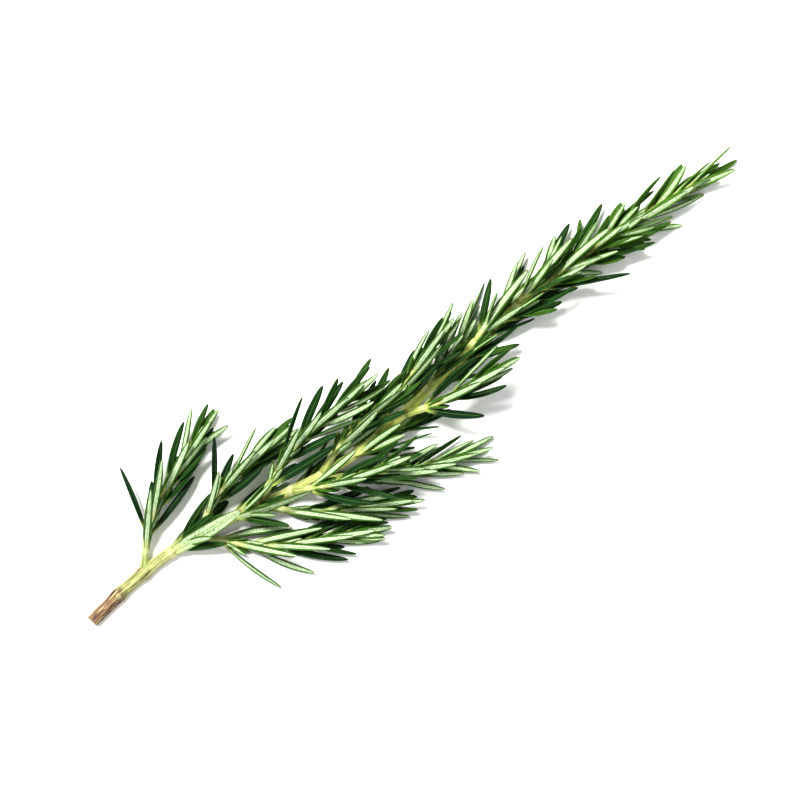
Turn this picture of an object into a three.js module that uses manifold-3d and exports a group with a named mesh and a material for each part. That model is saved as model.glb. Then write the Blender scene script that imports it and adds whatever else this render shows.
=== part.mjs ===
// A cut sprig of rosemary lying on a flat surface: a woody base with its cut end, the leafy shoot that
// continues it to the growing tip, and the side shoots that branch from both.
// Millimetres, +Z up. The surface is z = 0, the tip points along +X, and the origin is under the woody
// base, where its flattened underside touches the surface.

import * as THREE from "three";
import Module from "manifold-3d";

const wasm = await Module();
wasm.setup();

// The main stem, by the distance from its cut end along X
const STEM_LENGTH = 231;
const CUT_TO_ORIGIN = 10;
const WOODY_LENGTH = 29;
const SWAY = [-1.9, -1.1, 3.1, 1.7]; // sideways bows, of one to four half waves
const BASE_RADIUS = 1.85;
const GREEN_RADIUS = 1.5;
const GREEN_FROM = 90; // the stem thins to its green radius by here
const TIP_RADIUS = 0.7;
const LIFT = 5.4; // how much higher the stem runs once its own leaves carry it
const LIFT_FROM = 20;
const LIFT_TO = 100;
const TIP_DROOP = 2.6;
const DROOP_FROM = 165;

// The woody base
const WOODY_SIDES = 8;
const NODE_SWELLING = 0.3;
const NODE_HALF_LENGTH = 2;
const CUT_SLANT = 0.5; // the cut leans back by this at the top
const SPLICE_GAP = 0.3;

// The nodes, where leaves and side shoots stand in opposite pairs
const FIRST_NODE = 11.5;
const LONGEST_GAP = 10.5;
const GAP_SHRINK = 0.74;
const FIRST_TURN = -84;
const TURN_PER_NODE = 94; // each pair stands nearly square to the last
const LEAFLESS_NODES = 2; // the old leaves of the woody base have dropped
const LAST_TUFTED = 200; // beyond this the leaf axils are empty
const OLD_UNTIL = 70; // leaves are broader below this
const YOUNG_FROM = 150; // and shorter and closer to the stem beyond this

// A leaf
const LEAF_LENGTH = 27;
const LEAF_WIDTH = 2.95;
const LEAF_THICKNESS = 0.8;
const LEAF_STEPS = 24;
const LEAF_RINGS = [0, 9, 18]; // steps that carry a ring, before the tip
const FOOT_WIDTH = 0.44; // the narrow foot, as a share of the leaf's width
const FULL_WIDTH_FROM = 0.35; // shares of the leaf's length
const FULL_WIDTH_TO = 0.45;
const TIP_BLUNTNESS = 2.1;
const FOOT_TWIST = 0.45; // the share of a leaf's twist that its foot has
const TWISTED_BY = 0.6; // and the share of its length where it has all of it
const FACE_UP = 58; // leaves beside the stem twist by this towards the light
const TURNED_OVER = 0.36; // but this share of them twists the other way, underside up
const ROOT_DEPTH = 0.35; // how far out of the stem's middle a leaf starts, as a share of the stem's radius
const SURFACE_GAP = 0.02;
const PRESSED_BELOW = 3; // a blade nearer the surface than this starts to lie flat
// How far each leaf may differ from its neighbours: angles in degrees, sizes as shares
const VARIETY = { turn: 7, spread: 4, bend: 14, swing: 16, twist: 28, length: 0.12, width: 0.08 };

// Side shoots: the node and the side of it that they leave the main stem from, how far they lean out of
// it at first and once they have straightened, and their length
const SIDE_SHOOTS = [
  { node: 1, side: 0, lean: 46, settle: 18, length: 44 },
  { node: 3, side: 0, lean: 46, settle: 20, length: 50 },
  { node: 3, side: 180, lean: 40, settle: 14, length: 34 },
  { node: 5, side: 0, lean: 44, settle: 17, length: 46 },
  { node: 5, side: 180, lean: 42, settle: 18, length: 38 },
  { node: 6, side: 0, lean: 34, settle: 12, length: 32 },
  { node: 7, side: 0, lean: 42, settle: 18, length: 42 },
  { node: 7, side: 180, lean: 38, settle: 15, length: 30 },
  { node: 9, side: 0, lean: 38, settle: 17, length: 34 },
  { node: 10, side: 0, lean: 38, settle: 18, length: 28 },
];
const FIRST_SHOOT_LEAF = 7;
const SHOOT_LEAF_GAP = 5.2;
const SHOOT_LEAF_LENGTH = 23;
const SHOOT_LEAF_WIDTH = 2.75;
const SHOOT_RADIUS = 1.15;
const SHOOT_TIP_RADIUS = 0.55;
const SHOOT_STEPS = 24;
const SHOOT_FLOOR = 2.6; // a side shoot's stem rises at least this far above the surface
const SHOOT_RISES_BY = 0.25; // by this share of its length
const SHOOT_SIDES = 6;
const SHOOT_GAP = 0.3;

// A tuft, the short shoot in a leaf axil
const TUFT_LENGTH = 7;
const TUFT_LEAF_LENGTH = 17.5;
const TUFT_LEAF_WIDTH = 2.4;
const TUFT_RADIUS = 0.75;
const TUFT_TIP_RADIUS = 0.5;
const TUFT_FLOOR = 1.2;
const TUFT_SIDES = 5;

// How far the middles of two leaves stay apart
const KEEP_APART = 1.05;
const KEEP_APART_WITHIN = 0.7; // on the same shoot
const SLIVER = 0.03; // edges shorter than this are closed up where leaves join a stem
const DAB = 0.1; // half the size of the dab that fills a place where two surfaces only just touch
const DAB_ROUNDS = 6;

const RADIANS = Math.PI / 180;
const UP = new THREE.Vector3(0, 0, 1);

// A repeatable draw between -1 and 1 for one trait of one leaf
function draw(leaf, trait) {
  const x = Math.sin(leaf * 127.1 + trait * 311.7) * 43758.5453;
  return 2 * (x - Math.floor(x)) - 1;
}

function ease(x) {
  const t = Math.min(1, Math.max(0, x));
  return t * t * (3 - 2 * t);
}

// The larger of two heights, with a soft turn between them
function softMax(a, b, turn) {
  return (a + b + Math.hypot(a - b, turn)) / 2;
}

// A joint is a place on a stem, with the stem's direction there and the two directions across it.
function jointAt(point, ahead, radius) {
  const left = new THREE.Vector3().crossVectors(UP, ahead).normalize();
  const above = new THREE.Vector3().crossVectors(ahead, left);
  return { point, ahead, left, above, radius };
}

// The direction out of a stem at an angle about it, from its left side over its top
function outOf(joint, turn) {
  const angle = turn * RADIANS;
  return joint.left.clone().multiplyScalar(Math.cos(angle))
    .addScaledVector(joint.above, Math.sin(angle));
}

// The direction that leaves a stem at an angle to its own direction
function leaning(joint, turn, lean) {
  const angle = lean * RADIANS;
  return joint.ahead.clone().multiplyScalar(Math.cos(angle))
    .addScaledVector(outOf(joint, turn), Math.sin(angle));
}

// The main stem

const FLAT_TO_CORNER = Math.cos(Math.PI / WOODY_SIDES);
const REST_HEIGHT = BASE_RADIUS * FLAT_TO_CORNER;

function mainRadius(s) {
  const green = BASE_RADIUS + (GREEN_RADIUS - BASE_RADIUS) * ease((s - LIFT_FROM) / (GREEN_FROM - LIFT_FROM));
  return green + (TIP_RADIUS - GREEN_RADIUS) * ease((s - GREEN_FROM) / (STEM_LENGTH - GREEN_FROM));
}

function swayAt(s) {
  return SWAY.reduce((sum, bow, k) => sum + bow * Math.sin((k + 1) * Math.PI * s / STEM_LENGTH), 0);
}

// The stem's middle at s, with the stem over the origin at CUT_TO_ORIGIN
function mainPoint(s) {
  const height = REST_HEIGHT + LIFT * ease((s - LIFT_FROM) / (LIFT_TO - LIFT_FROM))
    - TIP_DROOP * ease((s - DROOP_FROM) / (STEM_LENGTH - DROOP_FROM));
  return new THREE.Vector3(s - CUT_TO_ORIGIN, swayAt(s) - swayAt(CUT_TO_ORIGIN), height);
}

function mainJoint(s) {
  const ahead = mainPoint(s + 0.5).sub(mainPoint(s - 0.5)).normalize();
  return jointAt(mainPoint(s), ahead, mainRadius(s));
}

function mainNodes() {
  const nodes = [];
  for (let s = FIRST_NODE; s < STEM_LENGTH - 1;) {
    nodes.push({ s, turn: FIRST_TURN + TURN_PER_NODE * nodes.length });
    s += LONGEST_GAP * (1 - GAP_SHRINK * ease((s / STEM_LENGTH - 0.5) * 2));
  }
  return nodes;
}

const NODES = mainNodes();

// Side shoots and the short tufts in the leaf axils

// A shoot's line starts inside the stem it grows from, and straightens as it goes.
function shootLine(joint, shoot, radius, tipRadius, floor) {
  const points = [];
  const point = joint.point.clone();
  for (let i = 0; i <= SHOOT_STEPS; i++) {
    const u = i / SHOOT_STEPS;
    const risen = ease(u / SHOOT_RISES_BY);
    const low = floor - Math.max(0, floor - joint.point.z) * (1 - risen);
    points.push(new THREE.Vector3(point.x, point.y, softMax(point.z, low, risen)));
    const lean = shoot.lean + (shoot.settle - shoot.lean) * ease(u * 1.4);
    point.addScaledVector(leaning(joint, shoot.turn, lean), shoot.length / SHOOT_STEPS);
  }
  return { points, radius, tipRadius, length: shoot.length };
}

function shootJoint(line, s) {
  const place = Math.min(0.999, Math.max(0, s / line.length)) * SHOOT_STEPS;
  const i = Math.floor(place);
  const point = line.points[i].clone().lerp(line.points[i + 1], place - i);
  const ahead = line.points[i + 1].clone().sub(line.points[Math.max(0, i - 1)]).normalize();
  return jointAt(point, ahead, line.radius + (line.tipRadius - line.radius) * (s / line.length));
}

// Leaves

// Half the leaf's width at u, from 0 at the foot to 1 at the tip: narrow foot, long parallel blade, blunt tip
function halfWidth(leaf, u) {
  const rise = FOOT_WIDTH + (1 - FOOT_WIDTH) * Math.sin(Math.min(1, u / FULL_WIDTH_FROM) * Math.PI / 2);
  const toTip = Math.max(0, (u - FULL_WIDTH_TO) / (1 - FULL_WIDTH_TO));
  return leaf.width / 2 * rise * Math.sqrt(1 - toTip ** TIP_BLUNTNESS);
}

// How far the blade has turned about its own length at u, in degrees
function twistAt(leaf, u) {
  return leaf.twist * (FOOT_TWIST + (1 - FOOT_TWIST) * ease(u / TWISTED_BY));
}

// The leaf's section: a ridge along the upper face and two edges, as its rolled margins leave it
function sectionAt(leaf, step) {
  const half = halfWidth(leaf, step.u);
  return [[half, -1 / 3], [-half, -1 / 3], [0, 2 / 3]].map(([across, up]) => step.point.clone()
    .addScaledVector(step.across, across)
    .addScaledVector(step.face, up * LEAF_THICKNESS));
}

// The leaf's midline, with the direction across the blade and the way its upper face looks at each step.
// Where the surface is in the way, the blade is pressed flat along it.
function leafLine(joint, leaf) {
  const line = [];
  const point = joint.point.clone()
    .addScaledVector(outOf(joint, leaf.turn), joint.radius * ROOT_DEPTH);
  for (let i = 0; i <= LEAF_STEPS; i++) {
    const u = i / LEAF_STEPS;
    const turn = leaf.turn + leaf.swing * u;
    const spread = leaf.spread + leaf.bend * u;
    const ahead = leaning(joint, turn, spread);
    const face = leaning(joint, turn, spread - 90);
    const across = new THREE.Vector3().crossVectors(ahead, face)
      .applyAxisAngle(ahead, twistAt(leaf, u) * RADIANS);
    line.push({ u, point: point.clone(), across });
    point.addScaledVector(ahead, leaf.length / LEAF_STEPS);
  }
  for (const step of line) {
    step.across.z *= 1 - ease(1 - step.point.z / PRESSED_BELOW);
    step.across.normalize();
    const below = halfWidth(leaf, step.u) * Math.abs(step.across.z) + LEAF_THICKNESS / 2;
    step.point.z = softMax(step.point.z, below + SURFACE_GAP, 0.6);
  }
  line.forEach((step, i) => {
    const before = line[Math.max(0, i - 1)].point;
    const after = line[Math.min(LEAF_STEPS, i + 1)].point;
    step.ahead = after.clone().sub(before).normalize();
    step.across.addScaledVector(step.ahead, -step.across.dot(step.ahead)).normalize();
    step.face = new THREE.Vector3().crossVectors(step.across, step.ahead);
    const lowest = Math.min(...sectionAt(leaf, step).map((p) => p.z));
    step.point.z += Math.max(0, SURFACE_GAP - lowest);
  });
  return line;
}

// Keeping leaves clear of each other: every placed leaf and stem leaves beads on its middle surface in a grid

const CELL = KEEP_APART;
const grid = new Map();

function cellKey(x, y, z) {
  return (Math.floor(x / CELL) * 4096 + Math.floor(y / CELL)) * 4096 + Math.floor(z / CELL);
}

function placeBead(bead) {
  const key = cellKey(bead.x, bead.y, bead.z);
  if (!grid.has(key)) grid.set(key, []);
  grid.get(key).push(bead);
}

function stemBeads(joints, shoot) {
  for (const joint of joints) {
    const around = Math.ceil(2 * Math.PI * joint.radius);
    for (let k = 0; k < around; k++) {
      const p = joint.point.clone().addScaledVector(outOf(joint, 360 * k / around), joint.radius);
      placeBead({ x: p.x, y: p.y, z: p.z, shoot, root: true });
    }
  }
}

function tuftBeads(line, shoot) {
  return line.points.flatMap((point, i) => [-0.7, 0.7].flatMap((across) =>
    [-0.7, 0.7].map((up) => {
      const joint = shootJoint(line, line.length * i / SHOOT_STEPS);
      const p = point.clone().addScaledVector(joint.left, across * joint.radius)
        .addScaledVector(joint.above, up * joint.radius);
      return { x: p.x, y: p.y, z: p.z, shoot, root: true };
    })));
}

function leafBeads(line, leaf, shoot) {
  const beads = [];
  for (const step of line) {
    for (const side of [-1, -0.5, 0, 0.5, 1]) {
      const p = step.point.clone().addScaledVector(step.across, side * halfWidth(leaf, step.u));
      beads.push({ x: p.x, y: p.y, z: p.z, shoot, root: step.u < 0.3 });
    }
  }
  return beads;
}

// How many of a leaf's beads are too near another shoot, and how many too near its own shoot's leaves
function clashes(beads) {
  let others = 0;
  let own = 0;
  for (const bead of beads) {
    for (let dx = -1; dx <= 1; dx++) {
      for (let dy = -1; dy <= 1; dy++) {
        for (let dz = -1; dz <= 1; dz++) {
          const near = grid.get(cellKey(bead.x + dx * CELL, bead.y + dy * CELL, bead.z + dz * CELL));
          for (const b of near || []) {
            const same = b.shoot === bead.shoot;
            if (same && (b.root || bead.root)) continue;
            const apart = Math.hypot(b.x - bead.x, b.y - bead.y, b.z - bead.z);
            if (same && apart < KEEP_APART_WITHIN) own++;
            if (!same && apart < KEEP_APART) others++;
          }
        }
      }
    }
  }
  return { others, own };
}

// A leaf tries the place it would like, then places turned about the stem or leaning further out.
const TRIES = [];
for (const lean of [0, 7, -6, 14]) {
  for (const turn of [0, 10, -10, 20, -20, 32, -32]) TRIES.push({ turn, lean });
}

// Grows a leaf at a joint, bent clear of what is there, or returns null where another shoot is in its way.
function growLeaf(joint, wish, shoot) {
  let best = null;
  for (const change of TRIES) {
    const leaf = { ...wish, turn: wish.turn + change.turn, spread: Math.max(6, wish.spread + change.lean) };
    const line = leafLine(joint, leaf);
    const beads = leafBeads(line, leaf, shoot);
    const { others, own } = clashes(beads);
    const score = others * 1000 + own;
    if (!best || score < best.score) best = { leaf, line, beads, score };
    if (score === 0) break;
  }
  if (best.score >= 1000) return null;
  best.beads.forEach(placeBead);
  return best;
}

// Solids

// A closed solid through rings of points, all with the same number, ending in a flat cap or in one point.
// Each side between two rings is two triangles, split along the diagonal that bulges where the rings twist.
function loft(rings, tip, twist = 0) {
  const count = rings[0].length;
  const points = rings.flat();
  const faces = [];
  for (let r = 0; r + 1 < rings.length; r++) {
    for (let k = 0; k < count; k++) {
      const a = r * count + k;
      const b = r * count + (k + 1) % count;
      if (twist > 0) faces.push([a, b, a + count], [b, b + count, a + count]);
      else faces.push([a, b, b + count], [a, b + count, a + count]);
    }
  }
  for (let k = 1; k + 1 < count; k++) faces.push([0, k + 1, k]);
  const last = (rings.length - 1) * count;
  if (tip) {
    points.push(tip);
    for (let k = 0; k < count; k++) faces.push([last + k, last + (k + 1) % count, points.length - 1]);
  } else {
    for (let k = 1; k + 1 < count; k++) faces.push([last, last + k, last + k + 1]);
  }
  return new wasm.Manifold(new wasm.Mesh({
    numProp: 3,
    vertProperties: new Float32Array(points.flatMap((p) => [p.x, p.y, p.z])),
    triVerts: new Uint32Array(faces.flat()),
  }));
}

// A ring of points round a joint, with one side flat at the bottom
function ringAt(joint, sides, radius = joint.radius) {
  return Array.from({ length: sides }, (_, k) => {
    const turn = 270 + 180 / sides + 360 * k / sides;
    return joint.point.clone().addScaledVector(outOf(joint, turn), radius);
  });
}

function leafSolid({ leaf, line }) {
  return loft(LEAF_RINGS.map((i) => sectionAt(leaf, line[i])), line[LEAF_STEPS].point, leaf.twist);
}

// The middles of the edges where a solid touches itself, so that more than two faces meet there
function touchingEdges(solid) {
  const { vertProperties, triVerts } = solid.getMesh();
  const pointAt = (v) => [0, 1, 2].map((axis) => vertProperties[3 * v + axis].toFixed(3));
  const edges = new Map();
  for (let t = 0; t < triVerts.length; t += 3) {
    const corners = [0, 1, 2].map((k) => pointAt(triVerts[t + k]));
    const names = corners.map(String);
    if (new Set(names).size < 3) continue;
    corners.forEach((from, k) => {
      const ends = [names[k], names[(k + 1) % 3]].sort().join(" ");
      const edge = edges.get(ends) || { faces: 0, from, to: corners[(k + 1) % 3] };
      edge.faces++;
      edges.set(ends, edge);
    });
  }
  return [...edges.values()].filter((edge) => edge.faces > 2).map(({ from, to }) =>
    new THREE.Vector3(...from.map(Number)).lerp(new THREE.Vector3(...to.map(Number)), 0.5));
}

function dabAt(point) {
  return loft([-DAB, DAB].map((z) => [[DAB, DAB], [-DAB, DAB], [-DAB, -DAB], [DAB, -DAB]].map(([x, y]) =>
    new THREE.Vector3(point.x + x, point.y + y, point.z + z))));
}

// One body out of a stem and its leaves, without slivers where they join or any scrap cut loose
function grownTogether(pieces) {
  let solid = wasm.Manifold.union(pieces).asOriginal().simplify(SLIVER);
  for (let round = 0; round < DAB_ROUNDS; round++) {
    const dabs = touchingEdges(solid).map(dabAt);
    if (!dabs.length) break;
    solid = wasm.Manifold.union([solid, ...dabs]).asOriginal().simplify(SLIVER);
  }
  return solid.decompose().sort((a, b) => b.volume() - a.volume())[0];
}

function meshOf(name, solid, material) {
  const made = solid.getMesh();
  const geometry = new THREE.BufferGeometry();
  geometry.setAttribute("position", new THREE.BufferAttribute(new Float32Array(made.vertProperties), 3));
  geometry.setIndex(new THREE.BufferAttribute(new Uint32Array(made.triVerts), 1));
  geometry.computeVertexNormals();
  const mesh = new THREE.Mesh(geometry, material);
  mesh.name = name;
  return mesh;
}

const BARK = new THREE.MeshStandardMaterial({ color: 0x8a6a45, roughness: 0.85, metalness: 0 });
const MAIN_LEAF = new THREE.MeshStandardMaterial({ color: 0x4f7a45, roughness: 0.55, metalness: 0 });
const SIDE_LEAF = new THREE.MeshStandardMaterial({ color: 0x45703f, roughness: 0.55, metalness: 0 });

// Lay out every stem first, so that leaves keep clear of all of them

const sideLines = SIDE_SHOOTS.map((shoot) => {
  const node = NODES[shoot.node];
  const turn = node.turn + shoot.side;
  return shootLine(mainJoint(node.s), { ...shoot, turn }, SHOOT_RADIUS, SHOOT_TIP_RADIUS, SHOOT_FLOOR);
});

const mainJoints = [];
for (let s = 0; s <= STEM_LENGTH; s++) mainJoints.push(mainJoint(s));
stemBeads(mainJoints, 0);
sideLines.forEach((line, i) => {
  const joints = [];
  for (let s = 3; s <= line.length; s++) joints.push(shootJoint(line, s));
  stemBeads(joints, i + 1);
});

// The woody base, with its swollen joints, slanting cut end and flat underside

function woodySwelling(s) {
  return NODES.slice(0, LEAFLESS_NODES).reduce((sum, node) =>
    sum + NODE_SWELLING * Math.exp(-(((s - node.s) / NODE_HALF_LENGTH) ** 2)), 0);
}

function woodyBase() {
  const rings = [];
  const stations = [0, 1];
  for (let s = 8; s <= WOODY_LENGTH; s += 1.5) stations.push(s);
  for (const s of stations) {
    const joint = mainJoint(s);
    const radius = joint.radius + woodySwelling(s);
    const ring = ringAt(joint, WOODY_SIDES, radius);
    if (s === 0) ring.forEach((p) => { p.x += CUT_SLANT * (p.z / BASE_RADIUS - 1); });
    ring.forEach((p) => { p.z = Math.max(0, p.z); });
    rings.push(ring);
  }
  return loft(rings);
}

// The main shoot's leaf pairs, each leaf with a tuft of small leaves in its axil

let leafCount = 0;
const leavesOf = [[], ...SIDE_SHOOTS.map(() => [])];
const tuftSolids = [];

function addLeaf(joint, wish, shoot) {
  leafCount++;
  const faceUp = draw(leafCount, 9) < 1 - 2 * TURNED_OVER ? FACE_UP : -FACE_UP;
  const grown = growLeaf(joint, {
    turn: wish.turn + VARIETY.turn * draw(leafCount, 1),
    spread: wish.spread + VARIETY.spread * draw(leafCount, 2),
    bend: wish.bend + VARIETY.bend * draw(leafCount, 3),
    swing: VARIETY.swing * draw(leafCount, 4),
    twist: VARIETY.twist * draw(leafCount, 5) - faceUp * Math.cos(wish.turn * RADIANS),
    length: wish.length * (1 + VARIETY.length * draw(leafCount, 6)),
    width: wish.width * (1 + VARIETY.width * draw(leafCount, 7)),
  }, shoot);
  if (grown) leavesOf[shoot].push(grown);
}

function addTuft(joint, turn, size) {
  const tuft = { turn, lean: 27, settle: 17, length: TUFT_LENGTH * size };
  const line = shootLine(joint, tuft, TUFT_RADIUS, TUFT_TIP_RADIUS, TUFT_FLOOR);
  const beads = tuftBeads(line, 0);
  if (clashes(beads).others) return;
  beads.forEach(placeBead);
  tuftSolids.push(loft([0, 12, 23].map((i) =>
    ringAt(shootJoint(line, line.length * i / SHOOT_STEPS), TUFT_SIDES))));
  [0.45, 0.95].forEach((share, k) => {
    const at = shootJoint(line, line.length * share);
    for (const side of [0, 180]) {
      addLeaf(at, {
        turn: turn + 90 * (k + 1) + side,
        spread: 21 - 5 * k,
        bend: -4,
        length: TUFT_LEAF_LENGTH * (1 - 0.22 * k) * size,
        width: TUFT_LEAF_WIDTH * (0.5 + 0.5 * size),
      }, 0);
    }
  });
}

function growMainShoot() {
  NODES.slice(LEAFLESS_NODES).forEach(({ s, turn }, i) => {
    const node = i + LEAFLESS_NODES;
    const old = ease((OLD_UNTIL - s) / (OLD_UNTIL - WOODY_LENGTH));
    const young = ease((s - YOUNG_FROM) / (STEM_LENGTH - YOUNG_FROM));
    const joint = mainJoint(s);
    for (const side of [0, 180]) {
      addLeaf(joint, {
        turn: turn + side,
        spread: 28 - 13 * young,
        bend: -7 + 4 * young,
        length: LEAF_LENGTH * (1 - 0.38 * young ** 2),
        width: LEAF_WIDTH * (1 + 0.5 * old - 0.14 * young),
      }, 0);
    }
    for (const side of [0, 180]) {
      const taken = SIDE_SHOOTS.some((shoot) => shoot.node === node && shoot.side === side);
      if (s < LAST_TUFTED && !taken) addTuft(joint, turn + side, 1 - 0.4 * young);
    }
  });
}

function growSideShoot(line, index) {
  const turn = 90 * (index % 2);
  let pair = 0;
  for (let s = FIRST_SHOOT_LEAF; s < line.length; pair++) {
    const young = s / line.length;
    const joint = shootJoint(line, s);
    for (const side of [0, 180]) {
      addLeaf(joint, {
        turn: turn + 90 * pair + side,
        spread: 29 - 14 * young,
        bend: -7,
        length: SHOOT_LEAF_LENGTH * (1 - 0.38 * young ** 2),
        width: SHOOT_LEAF_WIDTH * (1 - 0.22 * young),
      }, index);
    }
    s += SHOOT_LEAF_GAP * (1 - 0.5 * young);
  }
}

growMainShoot();
sideLines.forEach((line, i) => growSideShoot(line, i + 1));

// Assemble

function mainShootSolid() {
  const stations = [WOODY_LENGTH + SPLICE_GAP];
  for (let s = 36; s < STEM_LENGTH; s += 7) stations.push(s);
  const stem = loft(stations.map((s) => ringAt(mainJoint(s), SHOOT_SIDES)), mainPoint(STEM_LENGTH));
  return grownTogether([stem, ...tuftSolids, ...leavesOf[0].map(leafSolid)]);
}

// The main stem, thicker by the gap, that each side shoot's foot is cut back from
function footCutter() {
  const stations = [];
  for (let s = 6; s < STEM_LENGTH; s += 2) stations.push(s);
  return loft(stations.map((s) =>
    ringAt(mainJoint(s), WOODY_SIDES, (mainRadius(s) + woodySwelling(s) + SHOOT_GAP) / FLAT_TO_CORNER)));
}

function sideShootSolid(line, index, cutter) {
  const stations = [];
  for (let s = 0; s < line.length - 1; s += 4) stations.push(s);
  const stem = loft(stations.map((s) => ringAt(shootJoint(line, s), SHOOT_SIDES)),
    line.points[SHOOT_STEPS]);
  return grownTogether([stem.subtract(cutter), ...leavesOf[index].map(leafSolid)]);
}

const sprig = new THREE.Group();
sprig.add(meshOf("woody_base", woodyBase(), BARK));
sprig.add(meshOf("main_leafy_shoot", mainShootSolid(), MAIN_LEAF));
const cutter = footCutter();
sideLines.forEach((line, i) => {
  sprig.add(meshOf(`side_shoot_${i + 1}`, sideShootSolid(line, i + 1, cutter), SIDE_LEAF));
});

export default sprig;
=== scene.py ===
"""A cut sprig of rosemary, lying on a pale surface, in its finished looks.

Blender works in metres. The plant grows here in millimetres, by the same rule as its solids, and each
mesh turns them into metres as it is made.
"""

import math
from collections import namedtuple

import bpy
import numpy as np
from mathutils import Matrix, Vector


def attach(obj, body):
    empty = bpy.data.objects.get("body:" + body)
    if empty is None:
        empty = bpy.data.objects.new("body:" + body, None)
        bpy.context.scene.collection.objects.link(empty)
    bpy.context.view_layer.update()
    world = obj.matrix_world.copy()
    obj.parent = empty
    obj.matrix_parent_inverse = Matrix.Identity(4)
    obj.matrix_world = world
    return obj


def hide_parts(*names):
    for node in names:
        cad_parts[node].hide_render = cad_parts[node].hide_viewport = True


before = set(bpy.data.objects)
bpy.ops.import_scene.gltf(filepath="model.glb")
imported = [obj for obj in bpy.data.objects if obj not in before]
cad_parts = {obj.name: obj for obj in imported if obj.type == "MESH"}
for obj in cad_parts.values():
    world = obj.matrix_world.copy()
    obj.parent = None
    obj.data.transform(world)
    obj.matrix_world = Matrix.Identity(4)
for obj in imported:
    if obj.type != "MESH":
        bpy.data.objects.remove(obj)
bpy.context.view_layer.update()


# The view
# The photo looks straight down on the herbs, which lie aslant on a bright white surface. Soft light comes
# from the upper left and leaves only faint shadows.

PICTURE_WIDTH = 0.250
PICTURE_CENTRE = (0.1082, -0.0023)
PICTURE_TURN = math.radians(-36.1)  # the stem rises to the right in the picture by this angle
EYE_HEIGHT = 0.80
SENSOR_WIDTH = 0.036

camera_data = bpy.data.cameras.new("photo_view")
camera_data.sensor_width = SENSOR_WIDTH * 1000
camera_data.lens = 1000 * SENSOR_WIDTH * EYE_HEIGHT / PICTURE_WIDTH
camera_data.clip_start = 0.01
camera = bpy.data.objects.new("photo_view", camera_data)
camera.location = (PICTURE_CENTRE[0], PICTURE_CENTRE[1], EYE_HEIGHT)
camera.rotation_euler = (0, 0, PICTURE_TURN)
bpy.context.scene.collection.objects.link(camera)
bpy.context.scene.camera = camera


def even_light(name, toward, strength, softness, colour):
    """A far, even light from a direction seen in the picture; a soft one is wide in the sky."""
    across, up, height = toward
    cos_turn, sin_turn = math.cos(PICTURE_TURN), math.sin(PICTURE_TURN)
    direction = Vector((across * cos_turn - up * sin_turn, across * sin_turn + up * cos_turn, height))
    data = bpy.data.lights.new(name, "SUN")
    data.energy = strength
    data.angle = math.radians(softness)
    data.color = colour
    light = bpy.data.objects.new(name, data)
    light.location = (*PICTURE_CENTRE, EYE_HEIGHT)
    light.rotation_euler = direction.to_track_quat("Z", "Y").to_euler()
    bpy.context.scene.collection.objects.link(light)


even_light("key_light", toward=(-0.34, 0.40, 1.0), strength=4.0, softness=14, colour=(1.0, 0.99, 0.96))
even_light("fill_light", toward=(0.9, -0.2, 1.0), strength=0.3, softness=60, colour=(0.96, 0.98, 1.0))

world = bpy.data.worlds.new("white_room")
world.use_nodes = True
world.node_tree.nodes["Background"].inputs["Color"].default_value = (1.0, 1.0, 1.0, 1.0)
world.node_tree.nodes["Background"].inputs["Strength"].default_value = 0.50
bpy.context.scene.world = world
bpy.context.scene.view_settings.view_transform = "Standard"
bpy.context.scene.view_settings.look = "High Contrast"

FLOOR_HALF = 12.0  # so far that its edge never shows in a low view
floor_mesh = bpy.data.meshes.new("floor")
floor_mesh.from_pydata(
    [(-FLOOR_HALF, -FLOOR_HALF, 0), (FLOOR_HALF, -FLOOR_HALF, 0),
     (FLOOR_HALF, FLOOR_HALF, 0), (-FLOOR_HALF, FLOOR_HALF, 0)],
    [], [(0, 1, 2, 3)])
floor = bpy.data.objects.new("floor", floor_mesh)
bpy.context.scene.collection.objects.link(floor)
floor_paint = bpy.data.materials.new("white_surface")
floor_paint.use_nodes = True
floor_paint.node_tree.nodes["Principled BSDF"].inputs["Base Color"].default_value = (0.93, 0.93, 0.93, 1)
floor_paint.node_tree.nodes["Principled BSDF"].inputs["Roughness"].default_value = 0.9
floor_mesh.materials.append(floor_paint)


# The woody base
# The oldest end of the stem: ochre bark that splits into purple-brown furrows and peels in strips, swollen
# at its old leaf joints, with a rough pale cut end. It grows on into the green stem.

STEM_LENGTH = 231
CUT_TO_ORIGIN = 10
WOODY_LENGTH = 29
SWAY = (-1.9, -1.1, 3.1, 1.7)  # how far the stem bows aside, in one to four half waves
BASE_RADIUS = 1.85
GREEN_RADIUS = 1.5
GREEN_FROM = 90
TIP_RADIUS = 0.7
LIFT = 5.4
LIFT_FROM = 20
LIFT_TO = 100
TIP_DROOP = 2.6
DROOP_FROM = 165
REST_HEIGHT = BASE_RADIUS * math.cos(math.pi / 8)  # it rests on one flat of its eight-sided solid

FIRST_NODE = 11.5
LONGEST_GAP = 10.5
GAP_SHRINK = 0.74  # how much closer the joints stand at the tip, over the stem's upper half
FIRST_TURN = -84
TURN_PER_NODE = 94
LEAFLESS_NODES = 2

Joint = namedtuple("Joint", "point ahead left above radius")
Node = namedtuple("Node", "s turn")


def plus(a, b, share=1.0):
    return (a[0] + b[0] * share, a[1] + b[1] * share, a[2] + b[2] * share)


def times(a, share):
    return (a[0] * share, a[1] * share, a[2] * share)


def dot(a, b):
    return a[0] * b[0] + a[1] * b[1] + a[2] * b[2]


def cross(a, b):
    return (a[1] * b[2] - a[2] * b[1], a[2] * b[0] - a[0] * b[2], a[0] * b[1] - a[1] * b[0])


def unit(a):
    return times(a, 1 / math.sqrt(dot(a, a)))


def ease(x):
    t = min(1, max(0, x))
    return t * t * (3 - 2 * t)


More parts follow.
